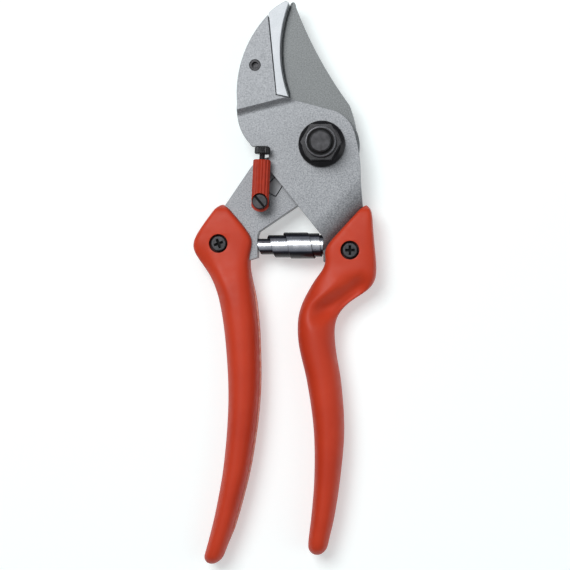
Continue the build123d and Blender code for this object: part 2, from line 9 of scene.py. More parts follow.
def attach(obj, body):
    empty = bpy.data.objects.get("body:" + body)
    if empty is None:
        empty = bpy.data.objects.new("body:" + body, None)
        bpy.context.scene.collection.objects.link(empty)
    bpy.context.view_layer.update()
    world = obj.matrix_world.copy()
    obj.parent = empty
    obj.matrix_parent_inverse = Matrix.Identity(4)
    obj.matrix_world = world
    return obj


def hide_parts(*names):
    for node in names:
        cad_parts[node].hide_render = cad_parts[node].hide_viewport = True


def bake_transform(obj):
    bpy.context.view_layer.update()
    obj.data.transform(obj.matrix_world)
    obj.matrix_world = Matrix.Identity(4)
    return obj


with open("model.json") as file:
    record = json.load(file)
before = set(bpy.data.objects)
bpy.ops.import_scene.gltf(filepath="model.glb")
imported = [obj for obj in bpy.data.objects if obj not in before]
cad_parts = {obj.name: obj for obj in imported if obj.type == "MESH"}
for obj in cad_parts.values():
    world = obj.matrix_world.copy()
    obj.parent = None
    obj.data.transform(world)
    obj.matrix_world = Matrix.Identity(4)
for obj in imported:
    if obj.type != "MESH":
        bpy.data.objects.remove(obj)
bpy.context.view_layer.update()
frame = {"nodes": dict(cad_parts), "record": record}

MM = 0.001
nodes = frame["nodes"]

# ================================================================ sizes, in mm, in the shears' own frame
PARTING = 10.0          # height at which a grip's front and back shells meet
SEAM = 0.12             # half the width of the seam between them
BACK_LIP = 0.5          # how far the left grip's back shell stands out past its front one, on the inner side
LIP_TOP = 46.0          # the lip starts and ends at these distances below the main pivot
LIP_END = 150.0
LIP_GROWS = 14.0        # and takes these lengths to reach its full width and to fade again
LIP_FADES = 8.0
GRIP_FLOOR = 0.0        # the grips lie on flat lands at this height
GRIP_SCREWS = {"left": (-38.5, -36.7), "right": (10.4, -39.3)}
RECESS_R = 3.5          # round recesses in the grips for their screws
RECESS_FLOOR = {"left": 12.0, "right": 12.6}
RECESS_OVER = 20.0      # a height above all of a grip
# where a grip's head falls to its narrow part: middle, direction across the hollow and along it, depth
HOLLOWS = {
    "left": ((-40.6, -52.0), (-0.93, -0.36), (0.36, -0.93), 1.6),
    "right": ((4.6, -57.7), (0.578, -0.815), (-0.815, -0.578), 5.0),
}
CROSS_REACH = 2.2       # the grip screws' crosses stay inside this radius

LOCK_PIVOT = (-22.6, -21.5)
LOCK_TILT = 2.6         # degrees from +Y towards +X
LOCK_LEVEL = 18.05      # height of the sleeve's axis
LOCK_HEAD_TOP = 20.25   # top of the screw that the sleeve turns on
LOCK_HEAD_R = 2.6
SLOT_TURN = -50         # degrees from +X
SLOT_HALF = 0.45        # half the width of its slot
SLOT_DEEP = 1.1
SLEEVE = (-3.6, 15.5)   # ends of the sleeve, along its axis from the lock's pivot
SLEEVE_R = 3.25
HEAD_CUT_R = 3.05       # cut-out in the sleeve for the screw's head
PIVOT_HOLE_R = 1.56
THUMB_HEAD = (17.6, 20.3)
THUMB_HEAD_R = 2.88
THUMB_THREAD = (5.0, 17.75)
THUMB_THREAD_R = 1.1

SPRING_AXIS = (-37.3, 8.2)      # y and z
SPRING_ENDS = (-24.15, 0.35)    # x, at the blade arm and at the anvil arm
SPRING_STRIP = 0.3              # thickness of the strip
SPRING_TURNS = 2.2              # from the middle to each end
SPRING_WIDE = 8.9               # width and radius of the middle turn
SPRING_R = 5.08

NUT_TOP = 24.8
COLLAR_R = 4.85         # inside of the nut's thin collar

PAINTED_SHADE_WAY = (0.716, -0.698, 0.0)    # direction from the pivot towards the right grip
PAINTED_SHADE_SPAN = (21.5, 28.0)    # distances that way where the painted shade starts and is full
BLADE_TAIL = (-10.5, -9.5)      # the blade is bare below this height in y, and coated above

# one row for each section across a grip: y, left edge, right edge, back, front, squareness
LEFT_GRIP = [
    (-21.9, -38.9, -36.0, 2.4, 12.6, 4.0),
    (-23.6, -40.2, -34.9, 1.4, 13.8, 5.6),
    (-26.5, -42.3, -32.3, 0.8, 14.4, 6.6),
    (-29.5, -44.5, -29.8, 0.5, 14.7, 7.0),
    (-32.5, -46.5, -27.6, 0.2, 14.8, 7.0),
    (-35.2, -48.0, -26.1, 0.0, 14.8, 6.6),
    (-38.2, -48.4, -26.5, -0.2, 14.8, 6.0),
    (-41.5, -46.9, -27.2, -0.3, 15.0, 4.8),
    (-45.5, -44.0, -27.2, -0.4, 15.5, 3.8),
    (-50.4, -41.1, -26.3, -0.4, 16.4, 3.0),
    (-58.0, -38.6, -25.0, -0.4, 17.4, 2.5),
    (-72.0, -36.4, -23.7, -0.4, 18.0, 2.3),
    (-94.0, -35.2, -23.7, -0.4, 18.0, 2.2),
    (-118.0, -36.8, -26.8, -0.4, 17.6, 2.2),
    (-136.0, -39.9, -31.2, -0.2, 16.6, 2.2),
    (-148.0, -42.8, -35.0, 1.2, 15.4, 2.2),
    (-153.5, -44.4, -37.1, 2.6, 13.8, 2.2),
    (-156.5, -45.1, -38.2, 4.0, 12.4, 2.2),
]
RIGHT_GRIP = [
    (-22.4, 15.3, 17.3, 2.6, 13.6, 3.6),
    (-24.4, 13.6, 18.3, 1.6, 14.8, 5.2),
    (-27.5, 10.7, 18.6, 1.0, 15.4, 6.2),
    (-31.0, 7.5, 18.8, 0.6, 15.6, 6.8),
    (-35.6, 3.3, 19.2, 0.0, 15.8, 6.8),
    (-38.8, 1.0, 19.5, -0.3, 15.8, 6.4),
    (-44.8, 1.0, 20.0, -0.4, 15.8, 5.2),
    (-50.2, -2.8, 19.6, -0.4, 16.4, 3.8),
    (-54.2, -5.2, 16.8, -0.4, 17.0, 2.8),
    (-58.4, -7.4, 10.0, -0.4, 17.6, 2.5),
    (-64.6, -9.1, 5.2, -0.4, 18.0, 2.4),
    (-74.0, -8.9, 4.7, -0.4, 18.0, 2.3),
    (-88.0, -5.8, 6.9, -0.4, 18.0, 2.2),
    (-106.0, -3.3, 8.1, -0.4, 17.8, 2.2),
    (-124.0, -3.1, 6.6, -0.4, 17.2, 2.2),
    (-139.0, -4.3, 4.3, 0.0, 16.2, 2.2),
    (-147.0, -5.3, 2.4, 1.6, 15.0, 2.2),
    (-150.8, -5.5, 1.6, 2.8, 13.8, 2.2),
    (-152.7, -5.5, 1.2, 4.0, 12.8, 2.2),
]


# ================================================================ colours and materials
def linear(code):
    """An sRGB hex colour as linear RGBA."""
    parts = [int(code[k:k + 2], 16) / 255 for k in (1, 3, 5)]
    return (*(c / 12.92 if c <= 0.04045 else ((c + 0.055) / 1.055) ** 2.4 for c in parts), 1.0)


def put(tree, kind, settings=None, links=None):
    """Adds a node. Settings name its attributes or inputs, links name the inputs that other nodes feed."""
    node = tree.nodes.new(kind)
    for key, value in (settings or {}).items():
        if isinstance(key, str) and hasattr(node, key):
            setattr(node, key, value)
        else:
            node.inputs[key].default_value = value
    for key, socket in (links or {}).items():
        tree.links.new(socket, node.inputs[key])
    return node


def new_material(name, settings):
    """A material with one Principled shader, and its tree, coordinates and shader."""
    material = bpy.data.materials.new(name)
    material.use_nodes = True
    tree = material.node_tree
    tree.nodes.clear()
    shader = put(tree, "ShaderNodeBsdfPrincipled", settings)
    put(tree, "ShaderNodeOutputMaterial", None, {"Surface": shader.outputs[0]})
    place = put(tree, "ShaderNodeTexCoord").outputs["Object"]
    return material, tree, place, shader


def noise(tree, place, grain_mm, detail=3.0, rough=0.5):
    """Noise whose features are about grain_mm across."""
    settings = {"Scale": 1.0 / (grain_mm * MM), "Detail": detail, "Roughness": rough}
    return put(tree, "ShaderNodeTexNoise", settings, {"Vector": place}).outputs[0]


def ramp(tree, fac, stops):
    """A colour ramp of (position, hex) stops."""
    node = put(tree, "ShaderNodeValToRGB", None, {"Fac": fac})
    while len(node.color_ramp.elements) < len(stops):
        node.color_ramp.elements.new(0.5)
    for element, (position, code) in zip(node.color_ramp.elements, stops):
        element.position = position
        element.color = linear(code)
    return node.outputs[0]


def grade(tree, fac, low, high, from_low=0.3, from_high=0.7):
    """The value fac, spread from one range to another."""
    settings = {"From Min": from_low, "From Max": from_high, "To Min": low, "To Max": high}
    return put(tree, "ShaderNodeMapRange", settings, {"Value": fac}).outputs[0]


def facing(tree, vector, direction):
    """How far a vector points or reaches in a fixed direction."""
    settings = {"operation": "DOT_PRODUCT", 1: direction}
    return put(tree, "ShaderNodeVectorMath", settings, {0: vector}).outputs["Value"]


def mix(tree, fac, first, second, blend="MIX"):
    """Two colours, mixed by a factor socket or number."""
    node = put(tree, "ShaderNodeMix", {"data_type": "RGBA", "blend_type": blend})
    for index, value in ((0, fac), (6, first), (7, second)):
        if isinstance(value, bpy.types.NodeSocket):
            tree.links.new(value, node.inputs[index])
        else:
            node.inputs[index].default_value = value
    return node.outputs[2]


def bump(tree, shader, height, deep_mm):
    """Feeds the shader a bump of that depth."""
    node = put(tree, "ShaderNodeBump", {"Strength": 1.0, "Distance": deep_mm * MM}, {"Height": height})
    tree.links.new(node.outputs[0], shader.inputs["Normal"])


def blasted_aluminium():
    """Forged aluminium, grit-blasted and clear coated: pale grey, faintly mottled, two-toned grit.

    Its grit is drawn 0.5 mm across, coarser than the real one, so that it shows.
    """
    material, tree, place, shader = new_material("blasted_forged_aluminium", {
        "Metallic": 0.45, "Roughness": 0.5, "Coat Weight": 0.08, "Coat Roughness": 0.35})
    cloud = noise(tree, place, 9.0, 2.0)
    grit = noise(tree, place, 0.5, 2.0, 0.6)
    base = ramp(tree, grade(tree, cloud, 0.0, 1.0), [(0.0, "#8A8D91"), (1.0, "#93969A")])
    speck = ramp(tree, grade(tree, grit, 0.0, 1.0), [(0.0, "#56595C"), (0.5, "#8E9195"), (1.0, "#B8BBBE")])
    # painted shade, darkening the metal where the anvil arm steps down into its grip
    corner_shade = grade(tree, facing(tree, place, PAINTED_SHADE_WAY), 1.0, 0.4, PAINTED_SHADE_SPAN[0] * MM, PAINTED_SHADE_SPAN[1] * MM)
    shade = put(tree, "ShaderNodeCombineColor", None, {0: corner_shade, 1: corner_shade, 2: corner_shade}).outputs[0]
    own_colour = mix(tree, 0.62, base, speck)
    tree.links.new(mix(tree, 1.0, own_colour, shade, "MULTIPLY"), shader.inputs["Base Color"])
    tree.links.new(grade(tree, grit, 0.44, 0.58), shader.inputs["Roughness"])
    bump(tree, shader, grit, 0.045)
    return material


def anvil_metal():
    """Soft cast aluminium strip, left bright: paler and finer than the arms, lightly dinted by the blade."""
    material, tree, place, shader = new_material(
        "bright_cast_aluminium", {"Metallic": 0.3, "Roughness": 0.45})
    cloud = noise(tree, place, 5.0, 2.0)
    fine = noise(tree, place, 0.5, 2.0)
    base = ramp(tree, grade(tree, cloud, 0.0, 1.0), [(0.0, "#AFB4B8"), (1.0, "#BABEC2")])
    speck = ramp(tree, grade(tree, fine, 0.0, 1.0), [(0.0, "#969B9F"), (1.0, "#C8CCD0")])
    tree.links.new(mix(tree, 0.35, base, speck), shader.inputs["Base Color"])
    tree.links.new(grade(tree, fine, 0.38, 0.52), shader.inputs["Roughness"])
    bump(tree, shader, fine, 0.02)
    return material


def coated_blade():
    """Carbon steel blade with a matt grey non-stick coating, ground bare on its tail in the arm."""
    material, tree, place, shader = new_material("coated_carbon_steel", {
        "Metallic": 0.3, "Roughness": 0.5, "Coat Weight": 0.04, "Coat Roughness": 0.4})
    cloud = noise(tree, place, 7.0, 3.0)
    grit = noise(tree, place, 0.5, 2.0, 0.6)
    base = ramp(tree, grade(tree, cloud, 0.0, 1.0), [(0.0, "#717576"), (1.0, "#797D7E")])
    speck = ramp(tree, grade(tree, grit, 0.0, 1.0), [(0.0, "#4A4E4F"), (0.5, "#75797A"), (1.0, "#9A9E9F")])
    coat = mix(tree, 0.6, base, speck)
    bare = mix(tree, 0.25, linear("#94979B"), speck)
    along_y = put(tree, "ShaderNodeSeparateXYZ", None, {0: place}).outputs["Y"]
    tail = grade(tree, along_y, 1.0, 0.0, BLADE_TAIL[0] * MM, BLADE_TAIL[1] * MM)
    tree.links.new(mix(tree, tail, coat, bare), shader.inputs["Base Color"])
    tree.links.new(grade(tree, grit, 0.44, 0.6), shader.inputs["Roughness"])
    bump(tree, shader, grit, 0.03)
    return material


def black_steel():
    """Black-oxide steel: blue-black, a little oily, with worn grey flecks."""
    material, tree, place, shader = new_material("black_oxide_steel", {
        "Metallic": 0.5, "Roughness": 0.32, "Coat Weight": 0.25, "Coat Roughness": 0.2})
    cloud = noise(tree, place, 2.5, 3.0)
    fine = noise(tree, place, 0.35, 2.0)
    base = ramp(tree, grade(tree, cloud, 0.0, 1.0), [(0.0, "#121215"), (0.7, "#1A1A1E"), (1.0, "#26262A")])
    tree.links.new(base, shader.inputs["Base Color"])
    tree.links.new(grade(tree, fine, 0.26, 0.42), shader.inputs["Roughness"])
    bump(tree, shader, fine, 0.008)
    return material


def phosphated_steel():
    """Phosphated screw steel: dull dark grey with a fine crystal grain."""
    material, tree, place, shader = new_material("phosphated_steel", {"Metallic": 0.6, "Roughness": 0.45})
    cloud = noise(tree, place, 1.6, 3.0)
    fine = noise(tree, place, 0.3, 2.0)
    base = ramp(tree, grade(tree, cloud, 0.0, 1.0), [(0.0, "#2C2C2E"), (1.0, "#424245")])
    tree.links.new(base, shader.inputs["Base Color"])
    tree.links.new(grade(tree, fine, 0.38, 0.54), shader.inputs["Roughness"])
    bump(tree, shader, fine, 0.01)
    return material


def spring_steel():
    """Polished flat spring strip, with a painted highlight where it faces up and painted shade down its
    sides.
    """
    material, tree, place, shader = new_material("polished_spring_strip", {"Roughness": 0.24, "IOR": 1.45})
    cloud = noise(tree, place, 3.0, 3.0)
    base = ramp(tree, grade(tree, cloud, 0.0, 1.0), [(0.0, "#D2D5DC"), (1.0, "#E8EAF0")])
    # painted highlight and shade: white where the strip faces up, near black down its sides; its metallic
    # follows the same way
    normal = put(tree, "ShaderNodeTexCoord").outputs["Normal"]
    upward = facing(tree, normal, (0.0, 0.1, 0.995))
    painted_top_light = ramp(tree, grade(tree, upward, 0.0, 1.0, 0.7, 0.98),
                 [(0.0, "#1C1D22"), (0.35, "#2C2E37"), (0.75, "#C9CCD4"), (1.0, "#FFFFFF")])
    base = mix(tree, 1.0, base, painted_top_light, "MULTIPLY")
    tree.links.new(base, shader.inputs["Base Color"])
    tree.links.new(grade(tree, upward, 0.1, 1.0, 0.78, 0.93), shader.inputs["Metallic"])
    tree.links.new(grade(tree, cloud, 0.2, 0.3), shader.inputs["Roughness"])
    bump(tree, shader, noise(tree, place, 0.5, 2.0), 0.003)
    return material


def painted_rim_highlight():
    """The nut's thin collar in pale grey steel, which paints a highlight along its top rim."""
    material, tree, place, shader = new_material("rim_painted_highlight", {"Metallic": 0.6, "Roughness": 0.35})
    fine = noise(tree, place, 0.4, 3.0)
    base = ramp(tree, grade(tree, fine, 0.0, 1.0), [(0.0, "#4C4C50"), (1.0, "#707074")])
    tree.links.new(base, shader.inputs["Base Color"])
    tree.links.new(grade(tree, fine, 0.28, 0.42), shader.inputs["Roughness"])
    bump(tree, shader, fine, 0.01)
    return material


def red_grip():
    """Moulded thermoplastic grip: warm red, satin, with faint flow mottling and a fine spark-eroded skin."""
    material, tree, place, shader = new_material("red_moulded_grip", {
        "Roughness": 0.5, "IOR": 1.33, "Subsurface Weight": 0.08, "Subsurface Radius": (1.0, 0.25, 0.1),
        "Subsurface Scale": 0.8 * MM})
    cloud = noise(tree, place, 14.0, 2.0)
    skin = noise(tree, place, 0.5, 2.0)
    wear = noise(tree, place, 3.0, 3.0)
    base = ramp(tree, grade(tree, cloud, 0.0, 1.0), [(0.0, "#BE381D"), (1.0, "#C83E21")])
    tree.links.new(base, shader.inputs["Base Color"])
    tree.links.new(grade(tree, wear, 0.44, 0.54), shader.inputs["Roughness"])
    bump(tree, shader, skin, 0.012)
    return material


def recess_painted_shade():
    """The grips' plastic in the screws' recesses, painted dark red as shade."""
    material, tree, place, shader = new_material("recess_painted_shade", {"Roughness": 0.6, "IOR": 1.45})
    recess_mottle = noise(tree, place, 0.8, 3.0)
    base = ramp(tree, grade(tree, recess_mottle, 0.0, 1.0), [(0.0, "#3A0D07"), (1.0, "#64170C")])
    tree.links.new(base, shader.inputs["Base Color"])
    tree.links.new(grade(tree, recess_mottle, 0.5, 0.7), shader.inputs["Roughness"])
    bump(tree, shader, recess_mottle, 0.02)
    return material


def painted_seam_highlight():
    """A pale pink along a grip's seam, painted on the red plastic as a highlight."""
    material, tree, place, shader = new_material("seam_painted_highlight", {"Roughness": 0.55, "IOR": 1.4})
    scuff = noise(tree, place, 2.0, 3.0)
    base = ramp(tree, grade(tree, scuff, 0.0, 1.0), [(0.0, "#E0806C"), (1.0, "#F6C0B0")])
    tree.links.new(base, shader.inputs["Base Color"])
    tree.links.new(grade(tree, scuff, 0.5, 0.65), shader.inputs["Roughness"])
    bump(tree, shader, scuff, 0.01)
    return material


def red_sleeve():
    """The lock sleeve's moulded nylon: a little browner and duller than the grips."""
    material, tree, place, shader = new_material("red_nylon_sleeve", {"Roughness": 0.5, "IOR": 1.36})
    cloud = noise(tree, place, 2.0, 3.0)
    fine = noise(tree, place, 0.3, 2.0)
    base = ramp(tree, grade(tree, cloud, 0.0, 1.0), [(0.0, "#A02A12"), (1.0, "#B03216")])
    tree.links.new(base, shader.inputs["Base Color"])
    tree.links.new(grade(tree, fine, 0.45, 0.6), shader.inputs["Roughness"])
    bump(tree, shader, fine, 0.01)
    return material


def black_nylon():
    """Nylon locking ring: matt black, faintly scored by the bolt. Also laid in the screws' crosses and slot
    as painted shade.
    """
    material, tree, place, shader = new_material("black_nylon", {"Roughness": 0.75, "IOR": 1.35})
    fine = noise(tree, place, 0.3, 2.0)
    base = ramp(tree, grade(tree, fine, 0.0, 1.0), [(0.0, "#040405"), (1.0, "#0A0A0C")])
    tree.links.new(base, shader.inputs["Base Color"])
    bump(tree, shader, fine, 0.01)
    return material


def bearing_bronze():
    """Sintered bronze bush: brown-gold, porous."""
    material, tree, place, shader = new_material("sintered_bronze", {"Metallic": 1.0, "Roughness": 0.4})
    fine = noise(tree, place, 0.3, 3.0)
    base = ramp(tree, grade(tree, fine, 0.0, 1.0), [(0.0, "#9A6E3E"), (1.0, "#B98A52")])
    tree.links.new(base, shader.inputs["Base Color"])
    bump(tree, shader, fine, 0.01)
    return material


def studio_paper():
    """Matt white paper sweep under the shears."""
    material, tree, place, shader = new_material(
        "studio_paper", {"Roughness": 0.9, "Specular IOR Level": 0.1})
    tooth = noise(tree, place, 1.2, 3.0)
    base = ramp(tree, tooth, [(0.3, "#D5DEDE"), (0.7, "#D9E2E2")])
    tree.links.new(base, shader.inputs["Base Color"])
    shader.inputs["Emission Color"].default_value = linear("#FFFFFF")
    shader.inputs["Emission Strength"].default_value = 0.38
    return material


FINISHES = {
    "aluminium": blasted_aluminium(),
    "anvil": anvil_metal(),
    "blade": coated_blade(),
    "black": black_steel(),
    "dark": phosphated_steel(),
    "spring": spring_steel(),
    "grip": red_grip(),
    "sleeve": red_sleeve(),
    "nylon": black_nylon(),
    "bronze": bearing_bronze(),
    "rim": painted_rim_highlight(),
    "recess": recess_painted_shade(),
    "flash": painted_seam_highlight(),
}


# ================================================================ mesh helpers
def new_object(name, mesh):
    """Links a mesh as an object at the origin."""
    made = bpy.data.objects.new(name, mesh)
    bpy.context.scene.collection.objects.link(made)
    return made


def as_object(name, made):
    """Turns a bmesh into an object of that name, at the origin."""
    mesh = bpy.data.meshes.new(name)
    made.to_mesh(mesh)
    made.free()
    return new_object(name, mesh)


def finished(piece):
    """The piece with its modifiers made real, as a plain mesh at the origin."""
    bpy.context.view_layer.update()
    graph = bpy.context.evaluated_depsgraph_get()
    mesh = bpy.data.meshes.new_from_object(piece.evaluated_get(graph))
    old = piece.data
    piece.modifiers.clear()
    piece.data = mesh
    bpy.data.meshes.remove(old)
    mesh.name = piece.name
    return piece


def smooth(piece, degrees=35.0):
    """Smooth shading, with edges sharper than this kept sharp."""
    piece.data.shade_smooth()
    piece.data.set_sharp_from_angle(angle=radians(degrees))


def give(piece, finish, body, replaced=()):
    """The last steps on every piece: its material, the body it rides on and the CAD nodes it stands for."""
    piece.data.materials.clear()
    piece.data.materials.append(FINISHES[finish])
    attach(piece, body)
    if replaced:
        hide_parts(*replaced)
    return piece


def softened(node, width_mm, degrees=28.0, segments=2):
    """A copy of a CAD node with its sharp edges rounded by width_mm."""
    mesh = nodes[node].data.copy()
    made = bmesh.new()
    made.from_mesh(mesh)
    bmesh.ops.remove_doubles(made, verts=made.verts, dist=0.002 * MM)
    bmesh.ops.dissolve_limit(made, angle_limit=radians(0.6), verts=made.verts, edges=made.edges)
    made.to_mesh(mesh)
    made.free()
    piece = new_object(f"{node}_finished", mesh)
    edge = piece.modifiers.new("rounded edges", "BEVEL")
    edge.width = width_mm * MM
    edge.segments = segments
    edge.limit_method = "ANGLE"
    edge.angle_limit = radians(degrees)
    edge.use_clamp_overlap = True
    finished(piece)
    smooth(piece)
    even = piece.modifiers.new("even shading on flats", "WEIGHTED_NORMAL")
    even.weight = 100
    even.keep_sharp = True
    finished(piece)
    return piece


def second_finish(piece, finish, chosen):
    """Another material on the faces that are chosen by their centre, in millimetres, and their normal."""
    piece.data.materials.append(FINISHES[finish])
    for face in piece.data.polygons:
        if chosen(face.center / MM, face.normal):
            face.material_index = len(piece.data.materials) - 1


# ================================================================ metal parts, with their edges rounded
BODIES = frame["record"]["behaviour"]["bodies"]
BODY_OF = {node: body for body, members in BODIES.items() for node in members}
ROUNDED = {
    "anvil_arm": ("aluminium", 0.35), "blade_arm": ("aluminium", 0.25), "blade": ("blade", 0.12),
    "anvil_strip": ("anvil", 0.2), "anvil_rivet": ("dark", 0.1), "pivot_nut": ("black", 0.15),
    "pivot_bolt": ("dark", 0.15), "lock_screw": ("dark", 0.1), "lock_spacer": ("dark", 0.1),
    "left_grip_screw": ("dark", 0.1), "right_grip_screw": ("dark", 0.1),
}
for node, (finish, width) in ROUNDED.items():
    made = give(softened(node, width), finish, BODY_OF[node], [node])
    if node == "pivot_nut":
        # painted highlight: the top of the nut's collar takes the pale grey rim material
        second_finish(made, "rim", lambda at, up: at.z > NUT_TOP - 0.35 and at.xy.length > COLLAR_R)
    if node in ("left_grip_screw", "right_grip_screw"):
        side = node.split("_")[0]
        middle = Vector(GRIP_SCREWS[side])
        low = RECESS_FLOOR[side] + 0.2
        high = RECESS_FLOOR[side] + 1.8
        # painted shade: the faces down in the screw's cross take the black nylon material
        second_finish(made, "nylon",
                      lambda at, up: low < at.z < high and (at.xy - middle).length < CROSS_REACH)
    if node == "lock_screw":
        across_slot = Vector((sin(radians(SLOT_TURN)), -cos(radians(SLOT_TURN))))
        pivot = Vector(LOCK_PIVOT)
        low = LOCK_HEAD_TOP - SLOT_DEEP
        high = LOCK_HEAD_TOP - 0.1
        # painted shade: the faces down in the lock screw's slot take the black nylon material
        second_finish(made, "nylon", lambda at, up: low < at.z < high and (at.xy - pivot).length < LOCK_HEAD_R
                      and abs((at.xy - pivot).dot(across_slot)) < SLOT_HALF)

KEPT = {"nut_lock_ring": "nylon", "pivot_bush": "bronze", "blade_dowel": "dark"}
for node, finish in KEPT.items():
    nodes[node].data.materials.clear()
    nodes[node].data.materials.append(FINISHES[finish])


# ================================================================ grips
def interpolated(rows, y):
    """A grip's section at y, on smooth curves through its rows."""
    place = max(k for k in range(len(rows) - 1) if rows[k][0] >= y)
    before, start, end, after = (rows[min(max(place + k, 0), len(rows) - 1)] for k in (-1, 0, 1, 2))
    part_way = (y - start[0]) / (end[0] - start[0])
    t2 = part_way ** 2
    t3 = part_way ** 3
    row = []
    for k in range(1, 6):
        slope_start = (end[k] - before[k]) / (end[0] - before[0]) * (end[0] - start[0])
        slope_end = (after[k] - start[k]) / (after[0] - start[0]) * (end[0] - start[0])
        row.append((2 * t3 - 3 * t2 + 1) * start[k] + (t3 - 2 * t2 + part_way) * slope_start
                   + (3 * t2 - 2 * t3) * end[k] + (t3 - t2) * slope_end)
    return row


def rounded_off(distance, length):
    """The share of a section's size that is left at a distance from a round end of that length."""
    return (1 - (1 - distance / length) ** 2) ** 0.5 if distance < length else 1.0


def sections(rows, spacing=1.0, passes=4, round_top=2.2, round_end=3.6):
    """Evenly spaced sections of a grip, faired along its length, with both ends rounded off."""
    top = rows[0][0]
    length = top - rows[-1][0]
    count = round(length / spacing)
    faired = [interpolated(rows, top - length * step / count) for step in range(count + 1)]
    for _ in range(passes):
        between = [[(a + 2 * b + c) / 4 for a, b, c in zip(*faired[k - 1:k + 2])] for k in range(1, count)]
        faired = [faired[0], *between, faired[-1]]
    made = []
    # the sections are closer together where the ends are round
    places = [0.02, 0.15, 0.4, 0.75, 1.2, 1.7]
    places += [k * spacing for k in range(2, count - 3)]
    places += [length - k for k in (2.9, 2.0, 1.2, 0.6, 0.2, 0.02)]
    for d in places:
        k = min(int(d / length * count), count - 1)
        part_way = d / length * count - k
        row = [a + (b - a) * part_way for a, b in zip(faired[k], faired[k + 1])]
        left, right, back, front, squareness = row
        swell = rounded_off(d, round_top) * rounded_off(length - d, round_end)
        half_across = (right - left) / 2 * swell
        half_up = (front - back) / 2 * swell
        made.append((top - d, (left + right) / 2, (back + front) / 2, half_across, half_up, squareness))
    return made


def ease(low, high, value):
    """0 below low, 1 above high, and a smooth curve between."""
    t = min(max((value - low) / (high - low), 0.0), 1.0)
    return t * t * (3 - 2 * t)


def hollow(side, x, y, z):
    """How far a grip's front drops at (x, y), where its broad head falls to the narrow part."""
    middle, across_way, along_way, deep = HOLLOWS[side]
    reach = Vector((x, y)) - Vector(middle)
    across = reach.dot(Vector(across_way))
    along = reach.dot(Vector(along_way))
    # it fades in and out along its length, falls steeply on one side and rises part of the way on the other
    fade = ease(-17.0, -9.0, along) * (1 - ease(3.0, 14.0, along))
    dip = ease(-4.6, 1.2, across) - 0.6 * ease(1.0, 6.0, across)
    return deep * dip * fade * ease(PARTING, PARTING + 6.0, z)


def trim(made, level, outward):
    """Cuts a closed mesh at a height, throws away the part that lies outward, and closes the cut."""
    cut = bmesh.ops.bisect_plane(made, geom=made.verts[:] + made.edges[:] + made.faces[:], clear_outer=True,
                                 plane_co=(0, 0, level * MM), plane_no=(0, 0, outward))
    bmesh.ops.holes_fill(made, edges=[e for e in cut["geom_cut"] if isinstance(e, bmesh.types.BMEdge)])


def grip_body(side, rows, lip, around=80):
    """A whole grip as one closed mesh. It is wider by lip on its inner side, along its narrow part."""
    made = bmesh.new()
    rings = []
    for y, across_mid, up_mid, half_across, half_up, squareness in sections(rows):
        ring = []
        inner = lip * ease(LIP_TOP, LIP_TOP + LIP_GROWS, -y) * (1 - ease(LIP_END - LIP_FADES, LIP_END, -y))
        for step in range(around):
            turn = tau * (step + 0.5) / around
            c = cos(turn)
            s = sin(turn)
            reach_x = half_across + inner if c > 0 else -half_across
            reach_z = half_up if s > 0 else -half_up
            x = across_mid + reach_x * abs(c) ** (2 / squareness)
            z = up_mid + reach_z * abs(s) ** (2 / squareness)
            z -= hollow(side, x, y, z)
            ring.append(made.verts.new(Vector((x, y, z)) * MM))
        rings.append(ring)
    for first, second in zip(rings, rings[1:]):
        for k in range(around):
            made.faces.new((first[k], first[(k + 1) % around], second[(k + 1) % around], second[k]))
    made.faces.new(rings[0])
    made.faces.new(list(reversed(rings[-1])))
    bmesh.ops.recalc_face_normals(made, faces=made.faces)
    trim(made, GRIP_FLOOR, -1)
    return made


def cylinder(name, centre, low, high, radius, corners=96):
    """A plain upright cylinder, used to cut holes and recesses."""
    made = bmesh.new()
    middle = Matrix.Translation(Vector((*centre, (low + high) / 2)) * MM)
    bmesh.ops.create_cone(made, cap_ends=True, segments=corners, radius1=radius * MM, radius2=radius * MM,
                          depth=(high - low) * MM, matrix=middle)
    return as_object(name, made)


def cut_away(piece, cutter, discard=True):
    """Takes one closed mesh out of another."""
    step = piece.modifiers.new("cut", "BOOLEAN")
    step.operation = "DIFFERENCE"
    step.solver = "EXACT"
    step.object = cutter
    finished(piece)
    if discard:
        bpy.data.objects.remove(cutter)


